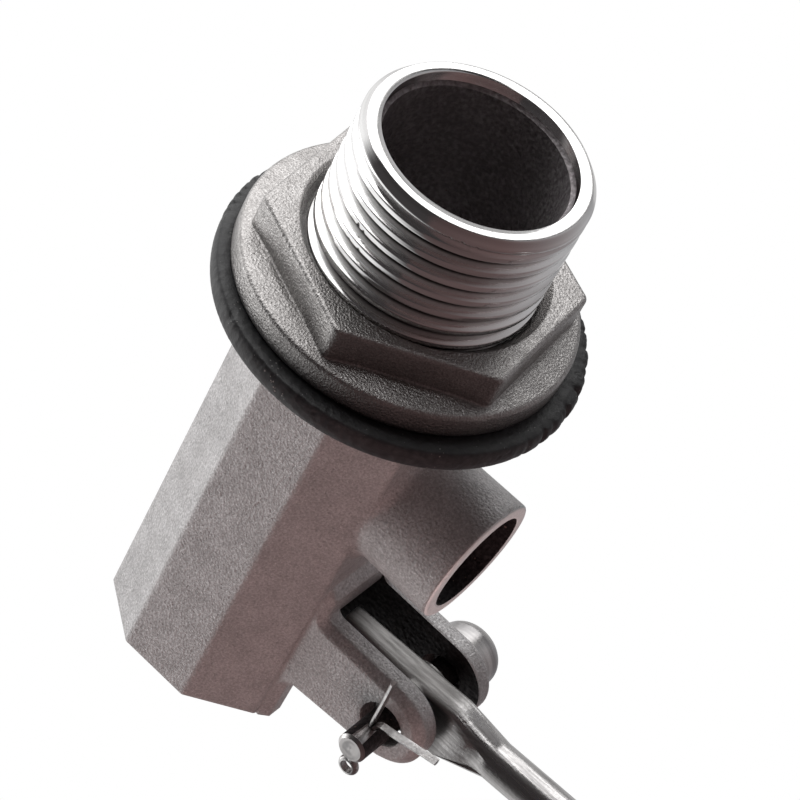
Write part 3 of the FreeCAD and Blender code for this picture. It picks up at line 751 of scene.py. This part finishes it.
def cast_steel(name, dark, light, grain_size, depth, rough, pits=0.5, edge=0.3 * MM, metal=1.0):
    """Investment-cast stainless steel: grainy, satin, brighter where handling rubs its edges,
    with painted glints on small spots.
    """
    material, net, shader, place = new_material(name)
    skin = use(net, "cast_skin", Vector=place, Grain_Size=grain_size, Pits=pits)
    worn = use(net, "worn_edge", Radius=edge)
    colour = net.mix(net.band(skin["Tone"], 0.30, 0.78), dark, light)
    colour = net.mix(net.times(worn["Mask"], 0.15), colour, RUBBED_STEEL)
    # Painted glints: small spots mixed towards near white
    colour = net.mix(net.times(skin["Sparkle"], 0.35), colour, PAINTED_GLINT)
    roughness = net.band(skin["Tone"], 0.25, 0.8, rough + 0.10, rough - 0.06)
    roughness = net.minus(roughness, net.times(skin["Sparkle"], 0.12))
    feed_shader(net, shader, colour, roughness, skin["Height"], depth, metal, Normal=worn["Normal"])
    return material


def turned_steel(name, dark, light, ring_width, depth, rough, mapping=None, groove_shade=None):
    """Machined stainless steel with fine turning rings about an axis. Mapping gives the place
    and turn of that axis. The last argument gives two radii, the inner one first: from the
    outer radius in to the inner one the colour darkens to painted shade, for the shadow deep
    in the grooves of a thread."""
    material, net, shader, place = new_material(name)
    if mapping:
        place = net.add("ShaderNodeMapping", {"vector_type": "TEXTURE"}, Vector=place,
                        Location=mapping[0], Rotation=mapping[1]).outputs[0]
    marks = use(net, "tool_marks", Vector=place, Ring_Width=ring_width)
    smears = net.noise(place, 260.0, 3.0, 0.6)
    colour = net.mix(net.band(marks["Tone"], 0.3, 0.7), dark, light)
    roughness = net.band(smears, 0.3, 0.75, rough - 0.05, rough + 0.10)
    # Painted shade: the colour darkens towards the roots of the thread's grooves, for the shadow in
    # them
    if groove_shade:
        shaded_r, bare = groove_shade
        colour = net.mix(net.band(marks["Radius"], bare, shaded_r), colour, PAINTED_GROOVE_SHADE)
        flank = net.band(marks["Radius"], bare + 0.3 * MM, bare, 0.0, 0.4)
        roughness = net.plus(roughness, flank)
    feed_shader(net, shader, colour, roughness, marks["Height"], depth)
    return material


def inside_painted_shade(name, dark, light):
    """The casting's unpolished inside, whose darker colour is painted shade, with a few bright
    grains.
    """
    material, net, shader, place = new_material(name)
    skin = use(net, "cast_skin", Vector=place, Grain_Size=0.4 * MM, Pits=0.3)
    specks = use(net, "specks", Vector=place, Size=0.9 * MM, Share=0.16)
    colour = net.mix(net.band(skin["Tone"], 0.35, 0.8), dark, light)
    colour = net.mix(specks["Mask"], colour, WARM_GRAIN)
    feed_shader(net, shader, colour, 0.62, skin["Height"], 0.12 * MM, metal=0.75)
    return material


def black_rubber(name, dark, light):
    """Moulded black rubber with a dusty bloom and light grit."""
    material, net, shader, place = new_material(name)
    skin = use(net, "cast_skin", Vector=place, Grain_Size=0.6 * MM, Pits=0.4)
    dust = use(net, "specks", Vector=place, Size=0.4 * MM, Share=0.20)
    colour = net.mix(net.band(skin["Tone"], 0.35, 0.8), dark, light)
    colour = net.mix(net.times(dust["Mask"], 0.5), colour, PALE_GRIT)
    roughness = net.band(skin["Tone"], 0.3, 0.8, 0.46, 0.62)
    feed_shader(net, shader, colour, roughness, skin["Height"], 0.1 * MM, metal=0.0)
    return material


def drawn_steel(name, dark, light, rough, stretch=(60.0, 60.0, 4.0), head=None):
    """Drawn or forged bar: streaks along the rod, by Object coordinates squeezed along Z.
    Head gives two distances from the pin, between which the dull forged head turns to clean rod."""
    material, net, shader, place = new_material(name)
    long_way = net.add("ShaderNodeMapping", Vector=place, Scale=stretch).outputs[0]
    streaks = net.noise(long_way, 42.0, 4.0, 0.6)
    fine = use(net, "cast_skin", Vector=place, Grain_Size=0.28 * MM, Pits=0.3)
    colour = net.mix(net.band(streaks, 0.3, 0.7), dark, light)
    roughness = net.band(streaks, 0.3, 0.75, rough + 0.08, rough - 0.04)
    if head:
        parts = net.split(place)
        along = net.plus(net.times(parts["X"], LEVER_AXIS.x), net.times(parts["Z"], LEVER_AXIS.z))
        start = PIN.dot(LEVER_AXIS)
        bare = net.band(along, start + head[0], start + head[1])
        colour = net.mix(net.band(bare, 0.0, 1.0, 0.25, 1.0), FORGING_SCALE, colour)
        roughness = net.plus(roughness, net.band(bare, 0.0, 1.0, 0.15, 0.0))
    height = net.plus(net.times(streaks, 0.6), net.times(fine["Height"], 0.5))
    feed_shader(net, shader, colour, roughness, height, 0.03 * MM)
    return material


def dress(node, finish):
    """Gives a CAD node its finish."""
    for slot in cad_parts[node].material_slots:
        slot.material = finish


# Studio

def picture_way(right, up, back):
    """Direction given in the picture's right, up and back."""
    return (CAMERA_RIGHT * right + CAMERA_UP * up + CAMERA_BACK * back).normalized()


def place_camera():
    """Camera at its solved place, with plain colours."""
    scene = bpy.context.scene
    scene.view_settings.view_transform = "Standard"
    lens = bpy.data.cameras.new("camera")
    lens.sensor_width = CAMERA_SENSOR
    lens.lens = CAMERA_LENS
    lens.clip_start = 0.01
    camera = bpy.data.objects.new("camera", lens)
    turn = Matrix((CAMERA_RIGHT, CAMERA_UP, CAMERA_BACK)).transposed()
    camera.matrix_world = Matrix.Translation(CAMERA_PLACE) @ turn.to_4x4()
    scene.collection.objects.link(camera)
    scene.camera = camera


def light_room():
    """White surroundings that darken below and towards the camera in what the steel mirrors."""
    world = bpy.data.worlds.new("studio")
    world.use_nodes = True
    bpy.context.scene.world = world
    net = Net(world.node_tree)
    background = world.node_tree.nodes["Background"]
    direction = net.add("ShaderNodeTexCoord").outputs["Generated"]

    def glow(right, up, back, low, high, strength):
        """Brightness of the room round a direction given in the picture's right, up and back."""
        towards = net.dot(direction, tuple(picture_way(right, up, back)))
        return net.band(towards, low, high, 0.0, strength)

    behind = glow(0.10, 0.30, -0.95, -0.35, 1.25, 0.62)
    left = glow(-0.88, 0.10, -0.35, 0.36, 0.85, 1.0)
    not_at_camera = glow(0.0, 0.0, -1.0, -0.42, 0.05, 1.0)
    share = net.math("MINIMUM", net.times(net.plus(behind, left), not_at_camera), 1.0)
    surroundings = net.mix(share, (0.045, 0.041, 0.042, 1), WHITE)
    rays, seen = net.rays()
    net.feed(background.inputs["Color"], net.mix(rays["Is Camera Ray"], surroundings, WHITE))
    net.feed(background.inputs["Strength"], net.band(seen, 0.0, 1.0, ROOM_GLOW, 1.0))


def soft_box(name, way, reach, width, height, power, colour=(1.0, 1.0, 1.0), mirrored=True):
    """Area lamp at a distance from the valve, in the picture's own directions."""
    light = bpy.data.lights.new(name, "AREA")
    light.shape = "RECTANGLE"
    light.size, light.size_y = width, height
    light.energy = power
    light.color = colour
    lamp = bpy.data.objects.new(name, light)
    away = picture_way(*way)
    lamp.location = VIEW_CENTRE + away * reach
    lamp.rotation_euler = away.to_track_quat("Z", "Y").to_euler()
    lamp.visible_camera = False
    lamp.visible_glossy = mirrored
    bpy.context.scene.collection.objects.link(lamp)


def lay_floor():
    """White paper under the float. What the steel mirrors of it, and the light it passes on,
    is a painted reflection and painted shade: dark and warm at +Y, turning grey towards -Y.
    """
    low = cad_box[0].z
    half = FLOOR_HALF
    mesh = bpy.data.meshes.new("floor")
    corners = [(-half, -half, low), (half, -half, low), (half, half, low), (-half, half, low)]
    mesh.from_pydata(corners, [], [(0, 1, 2, 3)])
    floor = bpy.data.objects.new("floor", mesh)
    bpy.context.scene.collection.objects.link(floor)
    material, net, shader, place = new_material("floor_paper")
    paper = net.mix(net.noise(place, 3.0), (0.68, 0.66, 0.65, 1), (0.72, 0.70, 0.69, 1))
    # Painted reflection and painted shade, for rays other than the camera's: dark and warm at +Y,
    # grey from -0.6 m in Y
    far = net.band(net.split(place)["Y"], 0.10, -0.60)
    shade = net.mix(far, (0.085, 0.054, 0.053, 1), (0.42, 0.42, 0.43, 1))
    rays, seen = net.rays()
    net.feed(shader.inputs["Base Color"], net.mix(rays["Is Camera Ray"], shade, paper))
    net.feed(shader.inputs["Emission Color"], net.mix(rays["Is Camera Ray"], shade, WHITE))
    net.feed(shader.inputs["Emission Strength"], net.times(seen, FLOOR_GLOW))
    shader.inputs["Roughness"].default_value = 0.9
    mesh.materials.append(material)


place_camera()
light_room()
soft_box("soft_box_top", (0.02, 0.98, 0.12), 0.45, 0.58, 0.62, 2.5)
soft_box("soft_box_left", (-0.92, 0.25, -0.30), 0.55, 0.22, 0.40, 0.5)
soft_box("soft_box_low", (-0.10, -0.93, 0.35), 0.25, 0.20, 0.20, 0.52, (1.0, 0.68, 0.65), False)
lay_floor()

# Finishes of this valve
CUT_STEEL = {
    "dark": (0.70, 0.69, 0.685, 1), "light": (0.90, 0.895, 0.89, 1),
    "ring_width": 0.16 * MM, "depth": 0.004 * MM, "rough": 0.13}
PIN_TURN = ((PIN.x, 0.0, PIN.z), (0.0, 0.0, math.radians(90)))
BODY_SKIN = cast_steel(
    "body_skin", (0.42, 0.41, 0.41, 1), (0.70, 0.685, 0.685, 1), grain_size=0.24 * MM,
    depth=0.08 * MM, rough=0.58, pits=0.35, edge=0.7 * MM, metal=0.80)
NUT_SKIN = cast_steel(
    "nut_skin", (0.26, 0.248, 0.242, 1), (0.50, 0.484, 0.475, 1), grain_size=0.18 * MM,
    depth=0.07 * MM, rough=0.36, pits=0.3)
# The thread's grooves darken to painted shade between these two radii
THREAD_STEEL = turned_steel("thread_steel", **CUT_STEEL, groove_shade=(9.62 * MM, 9.88 * MM))
SMALL_STEEL = turned_steel(
    "small_steel", (0.50, 0.48, 0.47, 1), (0.72, 0.70, 0.69, 1), ring_width=0.12 * MM,
    depth=0.01 * MM, rough=0.28)
PIN_STEEL = turned_steel(
    "pin_steel", (0.34, 0.33, 0.33, 1), (0.62, 0.60, 0.59, 1), ring_width=0.14 * MM,
    depth=0.015 * MM, rough=0.30, mapping=PIN_TURN)
WIRE_STEEL = drawn_steel(
    "wire_steel", (0.40, 0.39, 0.39, 1), (0.66, 0.65, 0.64, 1), rough=0.30,
    stretch=(30.0, 30.0, 30.0))
FACED_STEEL = turned_steel("faced_steel", **CUT_STEEL)
ROD_STEEL = drawn_steel(
    "rod_finish", (0.36, 0.35, 0.345, 1), (0.62, 0.605, 0.60, 1), rough=0.27,
    head=(2.5 * MM, 6.0 * MM))
BALL_STEEL = drawn_steel(
    "ball_finish", (0.58, 0.57, 0.56, 1), (0.74, 0.73, 0.72, 1), rough=0.24,
    stretch=(6.0, 6.0, 30.0))
WELD_STEEL = cast_steel(
    "weld_finish", (0.34, 0.31, 0.28, 1), (0.60, 0.57, 0.52, 1), grain_size=0.6 * MM,
    depth=0.06 * MM, rough=0.34, pits=0.2, edge=0.1 * MM)
# Darker than the skin: painted shade inside the casting and the sleeve
BORE_PAINTED_SHADE = inside_painted_shade("inside_painted_shade", (0.22, 0.20, 0.205, 1), (0.50, 0.47, 0.48, 1))
# Near black: painted shade in the slot, in the spout and on the pin between the ears
SLOT_PAINTED_SHADE = inside_painted_shade("slot_painted_shade", (0.030, 0.027, 0.028, 1), (0.10, 0.092, 0.094, 1))
# Nearly white and mostly matt: a painted highlight on the spout's end face
RIM_PAINTED_HIGHLIGHT = cast_steel(
    "rim_painted_highlight", (0.60, 0.66, 0.665, 1), (0.76, 0.82, 0.825, 1), grain_size=0.3 * MM,
    depth=0.03 * MM, rough=0.5, metal=0.2)
RUBBER = black_rubber("black_rubber", (0.010, 0.010, 0.011, 1), (0.030, 0.030, 0.032, 1))

# Pieces with their own shape
casting(BODY_SKIN, BORE_PAINTED_SHADE, SLOT_PAINTED_SHADE, RIM_PAINTED_HIGHLIGHT)
inlet_shank(THREAD_STEEL, BORE_PAINTED_SHADE, FACED_STEEL)
rubber_washer(RUBBER)
headed_pin(PIN_STEEL, SLOT_PAINTED_SHADE)
lever_forging(ROD_STEEL)
rod_thread(ROD_STEEL)
bead("seam_weld", BALL_CENTRE, BALL_R - 0.02 * MM, 1.7 * MM, 0.24 * MM, 190, WELD_STEEL)
boss_drop = BALL_R - math.sqrt(BALL_R ** 2 - BOSS_R ** 2)
bead("boss_weld", BALL_CENTRE - BALL_R + boss_drop, BOSS_R, 1.5 * MM, 0.5 * MM, 34, WELD_STEEL,
     math.radians(-40))

# Pieces that keep their CAD shape
CAD_FINISHES = {
    "lock_nut": NUT_SKIN,
    "split_pin": WIRE_STEEL,
    "rod_nut": SMALL_STEEL,
    "rod_washer": WIRE_STEEL,
    "float_boss": SMALL_STEEL,
    "float_shell_upper": BALL_STEEL,
    "float_shell_lower": BALL_STEEL,
    "float_backing_ring": SMALL_STEEL,
    "seat_nozzle": SMALL_STEEL,
    "piston": SMALL_STEEL,
    "piston_cap": SMALL_STEEL,
    "seat_ring": RUBBER,
    "seal_disc": RUBBER}
for node, finish in CAD_FINISHES.items():
    dress(node, finish)
